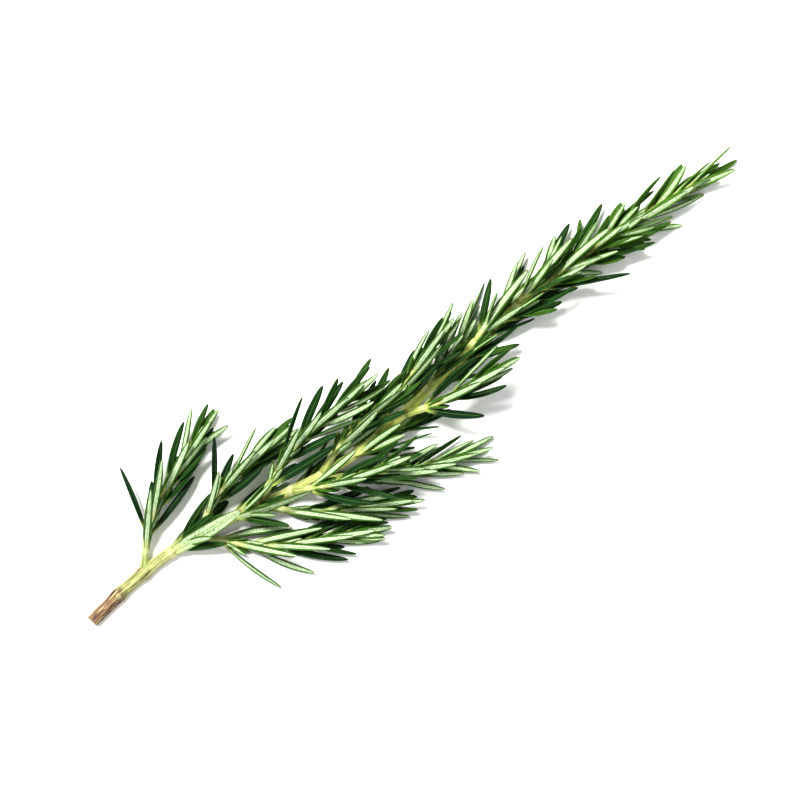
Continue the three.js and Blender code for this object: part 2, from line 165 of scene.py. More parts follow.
def joint_at(point, ahead, radius):
    """A place on a stem, with the stem's direction there and the two directions across it."""
    left = unit(cross((0, 0, 1), ahead))
    return Joint(point, ahead, left, cross(ahead, left), radius)


def out_of(joint, turn):
    """The direction out of a stem at an angle about it, from its left side over its top."""
    angle = math.radians(turn)
    return plus(times(joint.left, math.cos(angle)), joint.above, math.sin(angle))


def main_radius(s):
    green = BASE_RADIUS + (GREEN_RADIUS - BASE_RADIUS) * ease((s - LIFT_FROM) / (GREEN_FROM - LIFT_FROM))
    return green + (TIP_RADIUS - GREEN_RADIUS) * ease((s - GREEN_FROM) / (STEM_LENGTH - GREEN_FROM))


def sway_at(s):
    return sum(bow * math.sin((k + 1) * math.pi * s / STEM_LENGTH) for k, bow in enumerate(SWAY))


def main_point(s):
    """The stem's middle at s, with the stem over the origin at CUT_TO_ORIGIN."""
    height = (REST_HEIGHT + LIFT * ease((s - LIFT_FROM) / (LIFT_TO - LIFT_FROM))
              - TIP_DROOP * ease((s - DROOP_FROM) / (STEM_LENGTH - DROOP_FROM)))
    return (s - CUT_TO_ORIGIN, sway_at(s) - sway_at(CUT_TO_ORIGIN), height)


def main_joint(s):
    return joint_at(main_point(s), unit(plus(main_point(s + 0.5), main_point(s - 0.5), -1)), main_radius(s))


def grow_nodes():
    nodes = []
    s = FIRST_NODE
    while s < STEM_LENGTH - 1:
        nodes.append(Node(s, FIRST_TURN + TURN_PER_NODE * len(nodes)))
        s += LONGEST_GAP * (1 - GAP_SHRINK * ease((s / STEM_LENGTH - 0.5) * 2))
    return nodes


NODES = grow_nodes()


def hump(x, middle, half):
    """1 at the middle, fading away on both sides."""
    return math.exp(-(((x - middle) / half) ** 2))


def swelling(s, nodes, half_length):
    """How much of a node's swelling a stem has at s, from 0 to 1."""
    return sum(hump(s, node, half_length) for node in nodes)


def keep_values(values, at_point):
    """Adds a point's values to their columns."""
    for label, value in at_point.items():
        values.setdefault(label, []).append(value)


def stem_mesh(joints, sides, radius_at, attributes_at):
    """A tube of points through a stem's joints, closed at both ends, with the values of each point."""
    points, faces, values = [], [], {}
    for i, joint in enumerate(joints):
        for k in range(sides):
            turn = 360 * k / sides
            radius = radius_at(i, turn)
            point = plus(joint.point, out_of(joint, turn), radius)
            points.append((point[0], point[1], max(0.0, point[2])))
            keep_values(values, attributes_at(i, turn, radius))
    for i in range(len(joints) - 1):
        for k in range(sides):
            a, b = i * sides + k, i * sides + (k + 1) % sides
            faces.append((a, b, b + sides, a + sides))
    last = (len(joints) - 1) * sides
    faces.append(tuple(last + k for k in range(sides)))
    faces.append(tuple(reversed(range(sides))))
    return points, faces, values


def add_piece(name, points, faces, values, material, node, slot):
    """Makes a mesh in metres out of points in millimetres, which stands for a CAD node."""
    mesh = bpy.data.meshes.new(name)
    mesh.from_pydata((np.array(points) * 0.001).tolist(), [], faces)
    mesh.polygons.foreach_set("use_smooth", [len(corners) <= 4 for corners in faces])
    for label, column in values.items():
        column = np.array(column, np.float32)
        kind = "FLOAT_VECTOR" if column.ndim == 2 else "FLOAT"
        attribute = mesh.attributes.new(label, kind, "POINT")
        attribute.data.foreach_set("vector" if column.ndim == 2 else "value", column.ravel())
    mesh.materials.append(material)
    mesh.update()
    piece = bpy.data.objects.new(name, mesh)
    bpy.context.scene.collection.objects.link(piece)
    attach(piece, "root")
    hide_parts(node)


class Shader:
    """A material's nodes, added one at a time."""

    def __init__(self, name):
        self.material = bpy.data.materials.new(name)
        self.material.use_nodes = True
        self.tree = self.material.node_tree
        self.finish = self.tree.nodes["Principled BSDF"]

    def node(self, kind, **inputs):
        made = self.tree.nodes.new("ShaderNode" + kind)
        for label, value in inputs.items():
            self.feed(made.inputs[label], value)
        return made

    def feed(self, socket, value):
        if isinstance(value, bpy.types.NodeSocket):
            self.tree.links.new(value, socket)
        elif hasattr(value, "__len__") and len(value) == 3 and socket.type == "RGBA":
            socket.default_value = (*value, 1)
        else:
            socket.default_value = value

    def attribute(self, label, output="Fac"):
        made = self.tree.nodes.new("ShaderNodeAttribute")
        made.attribute_name = label
        return made.outputs[output]

    def math(self, operation, a, b):
        """Two shares multiplied, added or subtracted, held between 0 and 1."""
        made = self.tree.nodes.new("ShaderNodeMath")
        made.operation = operation
        made.use_clamp = True
        self.feed(made.inputs[0], a)
        self.feed(made.inputs[1], b)
        return made.outputs["Value"]

    def noise(self, place, scale, detail, stretch=(1, 1, 1)):
        mapping = self.node("Mapping", Vector=place, Scale=stretch)
        made = self.node("TexNoise", Vector=mapping.outputs["Vector"], Scale=scale, Detail=detail)
        return made.outputs["Fac"]

    def cells(self, place, scale, stretch=(1, 1, 1), feature="DISTANCE_TO_EDGE"):
        """The distance to the edge of the nearest of many small cells, or with F1 to its middle."""
        mapping = self.node("Mapping", Vector=place, Scale=stretch)
        made = self.node("TexVoronoi", Vector=mapping.outputs["Vector"], Scale=scale)
        made.feature = feature
        return made.outputs["Distance"]

    def swayed(self, value, noise, strength):
        """A value moved up and down by a noise about its middle."""
        made = self.tree.nodes.new("ShaderNodeMath")
        made.operation = "MULTIPLY_ADD"
        self.feed(made.inputs[0], self.centred(noise))
        self.feed(made.inputs[1], strength)
        self.feed(made.inputs[2], value)
        return made.outputs["Value"]

    def centred(self, noise):
        made = self.tree.nodes.new("ShaderNodeMath")
        made.operation = "SUBTRACT"
        self.feed(made.inputs[0], noise)
        made.inputs[1].default_value = 0.5
        return made.outputs["Value"]

    def between(self, value, low, high):
        """0 below low, 1 above high, and smooth between them."""
        made = self.tree.nodes.new("ShaderNodeMapRange")
        made.interpolation_type = "SMOOTHSTEP"
        self.feed(made.inputs["Value"], value)
        made.inputs["From Min"].default_value = low
        made.inputs["From Max"].default_value = high
        return made.outputs["Result"]

    def mix(self, share, a, b):
        made = self.tree.nodes.new("ShaderNodeMix")
        made.data_type = "RGBA"
        self.feed(made.inputs["Factor"], share)
        self.feed(made.inputs["A"], a)
        self.feed(made.inputs["B"], b)
        return made.outputs["Result"]

    def coat(self, colour, share, strength, over):
        """A colour with another laid over a share of it, up to a strength."""
        return self.mix(self.math("MULTIPLY", share, strength), colour, over)

    def bump(self, height, depth):
        made = self.node("Bump", Strength=1.0, Distance=depth, Height=height)
        self.feed(self.finish.inputs["Normal"], made.outputs["Normal"])


STEM_LIGHT = (0.44, 0.45, 0.20)
STEM_SHADE = (0.22, 0.25, 0.07)
STEM_LINE = (0.10, 0.10, 0.03)


def stem_skin(stem, place, light, shade):
    """The streaked green skin of a young stem, with the streaks that its relief follows."""
    streaks = stem.noise(place, 2.2, detail=4, stretch=(0.06, 1, 1))
    patches = stem.noise(place, 0.35, detail=2)
    lines = stem.noise(place, 1.6, detail=3, stretch=(0.035, 1, 1))
    skin = stem.mix(stem.between(streaks, 0.36, 0.58), shade, light)
    skin = stem.coat(skin, stem.between(patches, 0.5, 0.7), 0.35, shade)
    return stem.coat(skin, stem.between(lines, 0.41, 0.35), 0.75, STEM_LINE), streaks


BARK_DARK = (0.070, 0.028, 0.022)
BARK_LIGHT = (0.27, 0.17, 0.085)
PEELED_BARK = (0.60, 0.50, 0.28)
FURROW_LINE = (0.060, 0.020, 0.016)
SCAR_PALE = (0.36, 0.30, 0.17)
SCAR_RIM = (0.12, 0.05, 0.035)
WOOD_DARK = (0.34, 0.26, 0.12)
WOOD_PALE = (0.62, 0.56, 0.34)
WOOD_RIM = (0.20, 0.10, 0.05)
WOOD_FLECK = (0.30, 0.17, 0.09)


def bark_finish():
    """Peeling bark that greens towards the shoot, and the pale wood of the cut end."""
    bark = Shader("bark")
    place = bark.attribute("skin", "Vector")
    strips = bark.noise(place, 2.3, detail=5, stretch=(0.09, 1, 1))
    threads = bark.noise(place, 3.6, detail=5, stretch=(0.07, 1, 1))
    flecks = bark.noise(place, 3.5, detail=4, stretch=(0.4, 1, 1))
    furrow = bark.attribute("furrow")
    greening = bark.swayed(bark.attribute("greening"), strips, 2.4)
    greening = bark.swayed(greening, threads, 1.2)
    brown = bark.mix(bark.between(threads, 0.42, 0.56), BARK_DARK, BARK_LIGHT)
    peeled = bark.between(strips, 0.54, 0.58)
    brown = bark.coat(brown, peeled, 0.9, PEELED_BARK)
    green, streaks = stem_skin(bark, place, STEM_LIGHT, STEM_SHADE)
    skin = bark.mix(bark.between(greening, 0.35, 0.65), brown, green)
    dark_line = bark.math("MULTIPLY", bark.between(furrow, 0.45, 0.8), bark.between(threads, 0.62, 0.40))
    skin = bark.coat(skin, dark_line, 0.9, FURROW_LINE)
    scar = bark.attribute("scar")
    rim = bark.math("MULTIPLY", bark.between(scar, 0.05, 0.4), bark.between(scar, 0.9, 0.6))
    skin = bark.coat(skin, bark.between(scar, 0.5, 0.9), 0.6, SCAR_PALE)
    skin = bark.coat(skin, rim, 0.35, SCAR_RIM)
    radial = bark.attribute("radial")
    rings = bark.mix(bark.between(radial, 0.25, 0.42), WOOD_DARK, WOOD_PALE)
    cut = bark.mix(bark.between(radial, 0.78, 0.9), rings, WOOD_RIM)
    cut = bark.coat(cut, bark.between(flecks, 0.5, 0.75), 0.5, WOOD_FLECK)
    bark.feed(bark.finish.inputs["Base Color"], bark.mix(bark.attribute("cut"), skin, cut))
    bark.finish.inputs["Roughness"].default_value = 0.62
    bark.finish.inputs["Sheen Weight"].default_value = 0.12
    ridges = bark.mix(bark.between(greening, 0.35, 0.9), threads, streaks)
    relief = bark.math("ADD", bark.math("MULTIPLY", ridges, 0.7), bark.math("MULTIPLY", flecks, 0.2))
    bark.bump(relief, 0.0003)
    return bark.material


WOODY_SWELLING = 0.3
WOODY_SWELLING_HALF = 2.0
CUT_SLANT = 0.5
CUT_RINGS = (0.0, 0.2, 0.42, 0.64, 0.84, 0.96)  # shares of the radius, across the cut end
CUT_WITHIN = 0.98  # the whole cut face, as a share of the bark's radius
CUT_MIDDLE = 0.02
CUT_TORN = 0.16
CUT_HOLLOW = 0.18
HOLLOW_TO = 0.35  # the soft middle's share of the radius
BARK_STEP = 0.35
BARK_SIDES = 72
RIDGE_RANGE = 0.3  # from the bottoms of the furrows to the tops of the ridges
GREENS_FROM = 3  # the bark gets greener between these places along the stem
GREENS_TO = 28
GREENNESS = 1.7  # enough for the last brown streaks to end before the green stem
SMOOTH_FROM = 19  # the bark's ridges fade out from here to the green stem
SCAR_HEIGHT = 0.2
SCAR_LENGTH = 1.1
SCAR_WIDTH = 34  # degrees about the stem


def squareness(turn):
    """How far a green stem stands out at its four corners, as a share of its radius."""
    angle = math.radians(turn)
    return 0.05 * math.cos(4 * angle) - 0.03 * math.cos(8 * angle)


def bark_ridge(s, turn):
    """How far the bark stands out at a place, in strips that run along the stem and fade into it."""
    angle = math.radians(turn)
    wide = 0.10 * math.sin(4 * angle + 0.09 * s + 0.7 * math.sin(0.31 * s))
    middle = 0.09 * math.sin(9 * angle - 0.10 * s + math.sin(0.47 * s + 2))
    fine = 0.05 * math.sin(21 * angle + 0.12 * s + 1.7 * math.sin(0.5 * s))
    return (wide + middle + fine) * (1 - smoothness(s))


def smoothness(s):
    return ease((s - SMOOTH_FROM) / (WOODY_LENGTH - SMOOTH_FROM))


def leaf_scar(s, turn):
    """How much of a dropped leaf's raised scar is at a place, from 0 to 1."""
    share = 0.0
    for node in NODES[:LEAFLESS_NODES]:
        for side in (0, 180):
            off = (turn - node.turn - side + 180) % 360 - 180
            share += math.exp(-(((s - node.s) / SCAR_LENGTH) ** 4) - (off / SCAR_WIDTH) ** 4)
    return min(1.0, share)


woody_nodes = [node.s for node in NODES[:LEAFLESS_NODES]]
bark_stations = np.arange(0, WOODY_LENGTH + 0.01, BARK_STEP).tolist()
cut_joint = main_joint(0)
woody_joints = [cut_joint for _ in CUT_RINGS] + [main_joint(s) for s in bark_stations]


def woody_radius(i, turn):
    s = bark_stations[max(0, i - len(CUT_RINGS))]
    joint = woody_joints[i]
    full = joint.radius + WOODY_SWELLING * swelling(s, woody_nodes, WOODY_SWELLING_HALF) + bark_ridge(s, turn)
    full += SCAR_HEIGHT * leaf_scar(s, turn) + joint.radius * squareness(turn) * smoothness(s)
    if i < len(CUT_RINGS):
        return CUT_WITHIN * full * CUT_RINGS[i] + CUT_MIDDLE
    return full


def woody_values(i, turn, radius):
    on_cut = i < len(CUT_RINGS)
    s = bark_stations[max(0, i - len(CUT_RINGS))]
    ridge = bark_ridge(s, turn)
    around = min(radius, woody_joints[i].radius)
    return {
        "skin": (s, around * math.cos(math.radians(turn)), around * math.sin(math.radians(turn))),
        "furrow": 0.5 - ridge / RIDGE_RANGE,
        "scar": 0.0 if on_cut else leaf_scar(s, turn),
        "greening": GREENNESS * ease((s - GREENS_FROM) / (GREENS_TO - GREENS_FROM)),
        "radial": CUT_RINGS[i] if on_cut else 1.0,
        "cut": 1.0 if on_cut else 0.0,
    }


points, faces, values = stem_mesh(woody_joints, BARK_SIDES, woody_radius, woody_values)
for k in range(len(CUT_RINGS) * BARK_SIDES + BARK_SIDES):
    x, y, z = points[k]
    share = CUT_RINGS[k // BARK_SIDES] if k // BARK_SIDES < len(CUT_RINGS) else 1.0
    torn = CUT_TORN * math.sin(9 * values["skin"][k][1] + 4 * values["skin"][k][2]) * share
    hollow = CUT_HOLLOW * (1 - ease(share / HOLLOW_TO))
    points[k] = (x + CUT_SLANT * (z / BASE_RADIUS - 1) + torn + hollow, y, z)
woody_bark = bark_finish()
add_piece("woody_base_bark", points, faces, values, woody_bark, "woody_base", "bark")


# The green main stem
# This year's growth: pale yellow-green, four-angled and finely streaked, downy, with a paler swollen ring
# at each leaf joint. It tapers to the growing tip.

STEM_STEP = 0.5
STEM_SIDES = 32
STARTS_INSIDE = 0.7  # the green stem starts this far back in the bark
GREEN_SWELLING = 0.22
GREEN_SWELLING_HALF = 1.1
MAIN_JOINT_COLOUR = (0.53, 0.54, 0.29)
YOUNG_STEM = (0.61, 0.68, 0.18)
YOUNG_STEM_FROM = 40  # the stems get livelier in colour between these places along X
YOUNG_STEM_TO = 120
FLARE_UNTIL = 2.4  # a side shoot is widest where it comes out of the main stem
FLARE_FADE = 1.2
FOOT_PAINTED_SHADE = (0.26, 0.28, 0.07)  # and darker there, from painted shade where the main stem shades its foot
FOOT_UNTIL = 1.8
FOOT_FADE = 0.6
HIDDEN_START = 0.97  # the first ring is drawn in, so that it starts out of sight in the stem before it


def green_stem_finish(name, light, shade, node_colour):
    stem = Shader(name)
    place = stem.attribute("skin", "Vector")
    skin, streaks = stem_skin(stem, place, light, shade)
    skin = stem.coat(skin, stem.attribute("young"), 0.75, YOUNG_STEM)
    skin = stem.coat(skin, stem.attribute("joint"), 0.75, node_colour)
    # painted shade at a side shoot's foot, where the main stem shades it
    skin = stem.coat(skin, stem.attribute("foot"), 0.6, FOOT_PAINTED_SHADE)
    stem.feed(stem.finish.inputs["Base Color"], skin)
    stem.finish.inputs["Roughness"].default_value = 0.6
    stem.finish.inputs["Sheen Weight"].default_value = 0.12
    stem.finish.inputs["Sheen Roughness"].default_value = 0.5
    down = stem.noise(place, 9.0, detail=2)
    stem.bump(stem.math("ADD", streaks, stem.math("MULTIPLY", down, 0.5)), 0.00018)
    return stem.material


def green_stem(joints, stations, joint_places, swell, start_flare):
    """A green stem's mesh: points, faces and attributes."""

    def radius_at(i, turn):
        ring = swell * swelling(stations[i], joint_places, GREEN_SWELLING_HALF)
        flare = start_flare * math.exp(-max(0, stations[i] - FLARE_UNTIL) / FLARE_FADE)
        hidden = HIDDEN_START if i == 0 else 1.0
        return (joints[i].radius * (1 + squareness(turn)) * (1 + flare) + ring) * hidden

    def values_at(i, turn, radius):
        angle = math.radians(turn)
        around = joints[i].radius
        return {
            "skin": (stations[i], around * math.cos(angle), around * math.sin(angle)),
            "young": ease((joints[i].point[0] - YOUNG_STEM_FROM) / (YOUNG_STEM_TO - YOUNG_STEM_FROM)),
            "joint": min(1.0, swelling(stations[i], joint_places, GREEN_SWELLING_HALF)),
            # the share of painted shade at a side shoot's foot
            "foot": math.exp(-max(0, stations[i] - FOOT_UNTIL) / FOOT_FADE) if start_flare else 0.0,
        }

    return stem_mesh(joints, STEM_SIDES, radius_at, values_at)


main_stations = np.arange(WOODY_LENGTH - STARTS_INSIDE, STEM_LENGTH, STEM_STEP).tolist()
points, faces, values = green_stem(
    [main_joint(s) for s in main_stations], main_stations, [node.s for node in NODES],
    swell=GREEN_SWELLING, start_flare=0.0)
main_stem_green = green_stem_finish("main_stem_green", STEM_LIGHT, STEM_SHADE, MAIN_JOINT_COLOUR)
add_piece("main_stem", points, faces, values, main_stem_green, "main_leafy_shoot", "main_leaf")


# The side shoots' stems
# Thinner stems of the same growth, which leave the main stem at a joint, lean out and straighten. Each has
# a small collar where it grows out of the main stem.

SIDE_SHOOTS = (
    {"node": 1, "side": 0, "lean": 46, "settle": 18, "length": 44},
    {"node": 3, "side": 0, "lean": 46, "settle": 20, "length": 50},
    {"node": 3, "side": 180, "lean": 40, "settle": 14, "length": 34},
    {"node": 5, "side": 0, "lean": 44, "settle": 17, "length": 46},
    {"node": 5, "side": 180, "lean": 42, "settle": 18, "length": 38},
    {"node": 6, "side": 0, "lean": 34, "settle": 12, "length": 32},
    {"node": 7, "side": 0, "lean": 42, "settle": 18, "length": 42},
    {"node": 7, "side": 180, "lean": 38, "settle": 15, "length": 30},
    {"node": 9, "side": 0, "lean": 38, "settle": 17, "length": 34},
    {"node": 10, "side": 0, "lean": 38, "settle": 18, "length": 28},
)
FIRST_SHOOT_LEAF = 7
SHOOT_LEAF_GAP = 5.2
SHOOT_GAP_SHRINK = 0.5
SHOOT_RADIUS = 1.15
SHOOT_TIP_RADIUS = 0.55
SHOOT_STEPS = 24
SHOOT_SETTLES = 1.4  # its lean has settled at its length over this
SHOOT_FLOOR = 2.6  # its middle lies no lower than this
SHOOT_RISES_BY = 0.25  # the share of its length in which it gets there from the main stem
SHOOT_ENDS_BEFORE = 0.2
SHOOT_SWELLING = 0.14
SHOOT_FLARE = 0.25
SIDE_STEM_LIGHT = (0.40, 0.45, 0.18)
SIDE_STEM_SHADE = (0.19, 0.26, 0.07)
SIDE_JOINT_COLOUR = (0.50, 0.53, 0.28)

ShootLine = namedtuple("ShootLine", "points radius tip_radius length")


def leaning(joint, turn, lean):
    """The direction that leaves a stem at an angle to its own direction."""
    angle = math.radians(lean)
    return plus(times(joint.ahead, math.cos(angle)), out_of(joint, turn), math.sin(angle))


def soft_max(a, b, rounding):
    """The greater of two, rounded over where they are nearly equal."""
    return (a + b + math.hypot(a - b, rounding)) / 2


def shoot_line(joint, turn, shoot, radius, tip_radius, floor_height):
    """A shoot's line starts inside the stem that it grows from, rises to its height and straightens."""
    line = []
    point = joint.point
    for i in range(SHOOT_STEPS + 1):
        risen = ease(i / SHOOT_STEPS / SHOOT_RISES_BY)
        low = floor_height - max(0, floor_height - joint.point[2]) * (1 - risen)
        line.append((point[0], point[1], soft_max(point[2], low, risen)))
        lean = shoot["lean"] + (shoot["settle"] - shoot["lean"]) * ease(i / SHOOT_STEPS * SHOOT_SETTLES)
        point = plus(point, leaning(joint, turn, lean), shoot["length"] / SHOOT_STEPS)
    return ShootLine(line, radius, tip_radius, shoot["length"])


def shoot_joint(line, s):
    place = min(0.999, max(0, s / line.length)) * SHOOT_STEPS
    i = math.floor(place)
    here, following = line.points[i], line.points[i + 1]
    point = plus(here, plus(following, here, -1), place - i)
    ahead = unit(plus(following, line.points[max(0, i - 1)], -1))
    return joint_at(point, ahead, line.radius + (line.tip_radius - line.radius) * (s / line.length))


def shoot_leaf_places(line):
    """Where a side shoot's leaf pairs stand, closer together towards its tip."""
    places = []
    s = FIRST_SHOOT_LEAF
    while s < line.length:
        places.append(s)
        s += SHOOT_LEAF_GAP * (1 - SHOOT_GAP_SHRINK * s / line.length)
    return places


side_lines = []
for shoot in SIDE_SHOOTS:
    node = NODES[shoot["node"]]
    side_lines.append(shoot_line(
        main_joint(node.s), node.turn + shoot["side"], shoot, SHOOT_RADIUS, SHOOT_TIP_RADIUS, SHOOT_FLOOR))

side_stem_green = green_stem_finish(
    "side_stem_green", SIDE_STEM_LIGHT, SIDE_STEM_SHADE, SIDE_JOINT_COLOUR)
for number, line in enumerate(side_lines, 1):
    side_stations = np.arange(0, line.length - SHOOT_ENDS_BEFORE, STEM_STEP).tolist()
    points, faces, values = green_stem(
        [shoot_joint(line, s) for s in side_stations], side_stations, shoot_leaf_places(line),
        swell=SHOOT_SWELLING, start_flare=SHOOT_FLARE)
    add_piece(f"side_shoot_{number}_stem", points, faces, values, side_stem_green,
              f"side_shoot_{number}", "side_leaf")


# The leaves
# Narrow leathery blades in opposite pairs, each pair about square to the last, on the stem by a narrow pale
# foot. The upper face is deep green and finely wrinkled, with a sunken rib. The margins roll under, and
# between them lies pale felt with a raised rib.

LAST_TUFTED = 200  # tufts grow at the main stem's joints up to here
OLD_UNTIL = 70  # its leaves are broad and old up to here
YOUNG_FROM = 150  # and ever younger and smaller from here
LEAF_LENGTH = 27
LEAF_WIDTH = 2.95
LEAF_THICKNESS = 0.8
LEAF_STEPS = 24
FOOT_WIDTH = 0.44  # as a share of the leaf's width
FULL_WIDTH_FROM = 0.35  # as a share of its length
FULL_WIDTH_TO = 0.45
TIP_BLUNTNESS = 2.1
FOOT_TWIST = 0.45  # the share of its twist that a leaf has at its foot
TWISTED_BY = 0.6  # and the share of its length by which it has all of it
FACE_UP = 58  # how far a leaf beside the stem turns its upper face to the sky, or away from it
TURNED_OVER = 0.36  # the share of those leaves that show their underside
ROOT_DEPTH = 0.35  # a leaf starts inside the stem, at this share of its radius
SURFACE_GAP = 0.02
PRESSED_BELOW = 3  # a blade lower than this is pressed flat along the surface
TRAITS = ("turn", "spread", "bend", "swing", "twist", "length", "width", "tone", "face")
VARIETY = {"turn": 7, "spread": 4, "bend": 14, "swing": 16, "twist": 28, "length": 0.12, "width": 0.08}
SHOOT_LEAF_LENGTH = 23
SHOOT_LEAF_WIDTH = 2.75
TUFT_LENGTH = 7
TUFT_LEAN = 27
TUFT_SETTLE = 17
TUFT_PAIRS_AT = (0.45, 0.95)  # as shares of the tuft's length
TUFT_LEAF_LENGTH = 17.5
TUFT_LEAF_WIDTH = 2.4
TUFT_RADIUS = 0.75
TUFT_TIP_RADIUS = 0.5
TUFT_FLOOR = 1.2
KEEP_APART = 1.05  # from another shoot's leaves and stems
KEEP_APART_WITHIN = 0.7  # from the same shoot's leaves
KEEP_APART_FROM = 3  # a side shoot's stem starts to keep clear this far along
ROOTED_UNTIL = 0.3  # the share of a leaf that may come near the rest of its own shoot
TUFT_EDGE = 0.7  # its beads run along four lines, this share of its radius aside and up or down
LEANS_TRIED = (0, 7, -6, 14)
TURNS_TRIED = (0, 10, -10, 20, -20, 32, -32)
LEAST_SPREAD = 6

Bead = namedtuple("Bead", "x y z shoot root")
Step = namedtuple("Step", "u point across face")


def draw(leaf, trait):
    """A repeatable draw between -1 and 1 for one trait of one leaf."""
    x = math.sin(leaf * 127.1 + trait * 311.7) * 43758.5453
    return 2 * (x - math.floor(x)) - 1


def half_width(leaf, u):
    """Half the leaf's width at u, from 0 at the foot to 1 at the tip."""
    rise = FOOT_WIDTH + (1 - FOOT_WIDTH) * math.sin(min(1, u / FULL_WIDTH_FROM) * math.pi / 2)
    to_tip = max(0, (u - FULL_WIDTH_TO) / (1 - FULL_WIDTH_TO))
    return leaf["width"] / 2 * rise * math.sqrt(1 - to_tip ** TIP_BLUNTNESS)


def leaf_line(joint, leaf):
    """The leaf's midline, with the direction across the blade and the way its upper face looks.
    Where the surface is in the way, the blade is pressed flat along it."""
    line = []
    point = plus(joint.point, out_of(joint, leaf["turn"]), joint.radius * ROOT_DEPTH)
    for i in range(LEAF_STEPS + 1):
        u = i / LEAF_STEPS
        turn = leaf["turn"] + leaf["swing"] * u
        spread = leaf["spread"] + leaf["bend"] * u
        ahead = leaning(joint, turn, spread)
        flat = cross(ahead, leaning(joint, turn, spread - 90))
        twist = math.radians(leaf["twist"] * (FOOT_TWIST + (1 - FOOT_TWIST) * ease(u / TWISTED_BY)))
        across = plus(times(flat, math.cos(twist)), cross(ahead, flat), math.sin(twist))
        flattened = 1 - ease(1 - point[2] / PRESSED_BELOW)
        across = unit((across[0], across[1], across[2] * flattened))
        below = half_width(leaf, u) * abs(across[2]) + LEAF_THICKNESS / 2
        line.append((u, (point[0], point[1], soft_max(point[2], below + SURFACE_GAP, 0.6)), across))
        point = plus(point, ahead, leaf["length"] / LEAF_STEPS)
    steps = []
    for i, (u, here, across) in enumerate(line):
        before = steps[i - 1].point if i else here
        following = line[min(LEAF_STEPS, i + 1)][1]
        ahead = unit(plus(following, before, -1))
        across = unit(plus(across, ahead, -dot(across, ahead)))
        face = cross(across, ahead)
        half = half_width(leaf, u)
        lowest = min(
            here[2] + side * half * across[2] + up * LEAF_THICKNESS * face[2]
            for side, up in ((1, -1 / 3), (-1, -1 / 3), (0, 2 / 3)))
        steps.append(Step(u, (here[0], here[1], here[2] + max(0, SURFACE_GAP - lowest)), across, face))
    return steps


# Leaves keep clear of each other: a placed leaf leaves beads over its blade in a grid, a stem round its skin.

bead_grid = {}


def cell_of(bead):
    return (math.floor(bead.x / KEEP_APART), math.floor(bead.y / KEEP_APART), math.floor(bead.z / KEEP_APART))


def place_beads(beads):
    for bead in beads:
        bead_grid.setdefault(cell_of(bead), []).append(bead)


def stem_beads(joints, shoot):
    beads = []
    for joint in joints:
        around = math.ceil(2 * math.pi * joint.radius)
        for k in range(around):
            beads.append(Bead(*plus(joint.point, out_of(joint, 360 * k / around), joint.radius), shoot, True))
    return beads


def tuft_beads(line, shoot):
    beads = []
    for i, point in enumerate(line.points):
        joint = shoot_joint(line, line.length * i / SHOOT_STEPS)
        for across in (-TUFT_EDGE, TUFT_EDGE):
            for up in (-TUFT_EDGE, TUFT_EDGE):
                edge = plus(point, joint.left, across * joint.radius)
                beads.append(Bead(*plus(edge, joint.above, up * joint.radius), shoot, True))
    return beads


def leaf_beads(line, leaf, shoot):
    beads = []
    for step in line:
        half = half_width(leaf, step.u)
        for side in (-1, -0.5, 0, 0.5, 1):
            beads.append(Bead(*plus(step.point, step.across, side * half), shoot, step.u < ROOTED_UNTIL))
    return beads


def own_clashes(beads):
    """How many beads are too near their own shoot's leaves, or None where another shoot is too near."""
    near_cell = {}
    own = 0
    for bead in beads:
        cell = cell_of(bead)
        if cell not in near_cell:
            near_cell[cell] = [
                other
                for dx in (-1, 0, 1) for dy in (-1, 0, 1) for dz in (-1, 0, 1)
                for other in bead_grid.get((cell[0] + dx, cell[1] + dy, cell[2] + dz), ())]
        for other in near_cell[cell]:
            same = other.shoot == bead.shoot
            if same and (other.root or bead.root):
                continue
            apart = math.sqrt((other.x - bead.x) ** 2 + (other.y - bead.y) ** 2 + (other.z - bead.z) ** 2)
            if not same and apart < KEEP_APART:
                return None
            if same and apart < KEEP_APART_WITHIN:
                own += 1
    return own


def grow_leaf(joint, wish, shoot):
    """Tries the place that the leaf would like, then places turned about the stem or leaning further out."""
    best = None
    for lean in LEANS_TRIED:
        for turn in TURNS_TRIED:
            leaf = {**wish, "turn": wish["turn"] + turn, "spread": max(LEAST_SPREAD, wish["spread"] + lean)}
            line = leaf_line(joint, leaf)
            beads = leaf_beads(line, leaf, shoot)
            own = own_clashes(beads)
            if own is not None and (best is None or own < best[0]):
                best = (own, leaf, line, beads)
            if own == 0:
                break
        if best and best[0] == 0:
            break
    if best is None:
        return None
    place_beads(best[3])
    return best[1], best[2]


leaf_count = 0
leaves_of = {"main": [], "tuft": [], "heart": []}
tuft_lines = []


def leaf_like(wish):
    """A leaf as wished, but for its own small differences."""
    global leaf_count
    leaf_count += 1
    drawn = {trait: draw(leaf_count, number) for number, trait in enumerate(TRAITS, 1)}
    own = {trait: variety * drawn[trait] for trait, variety in VARIETY.items()}
    face_up = FACE_UP if drawn["face"] < 1 - 2 * TURNED_OVER else -FACE_UP
    return {
        "turn": wish["turn"] + own["turn"],
        "spread": wish["spread"] + own["spread"],
        "bend": wish["bend"] + own["bend"],
        "swing": own["swing"],
        "twist": own["twist"] - face_up * math.cos(math.radians(wish["turn"])),
        "length": wish["length"] * (1 + own["length"]),
        "width": wish["width"] * (1 + own["width"]),
        "young": wish["young"],
        "old": wish.get("old", 0.0),
        "tone": drawn["tone"],
        "number": leaf_count,
    }


def add_leaf(joint, wish, shoot, group):
    grown = grow_leaf(joint, leaf_like(wish), shoot)
    if grown:
        leaves_of.setdefault(group, []).append(grown)


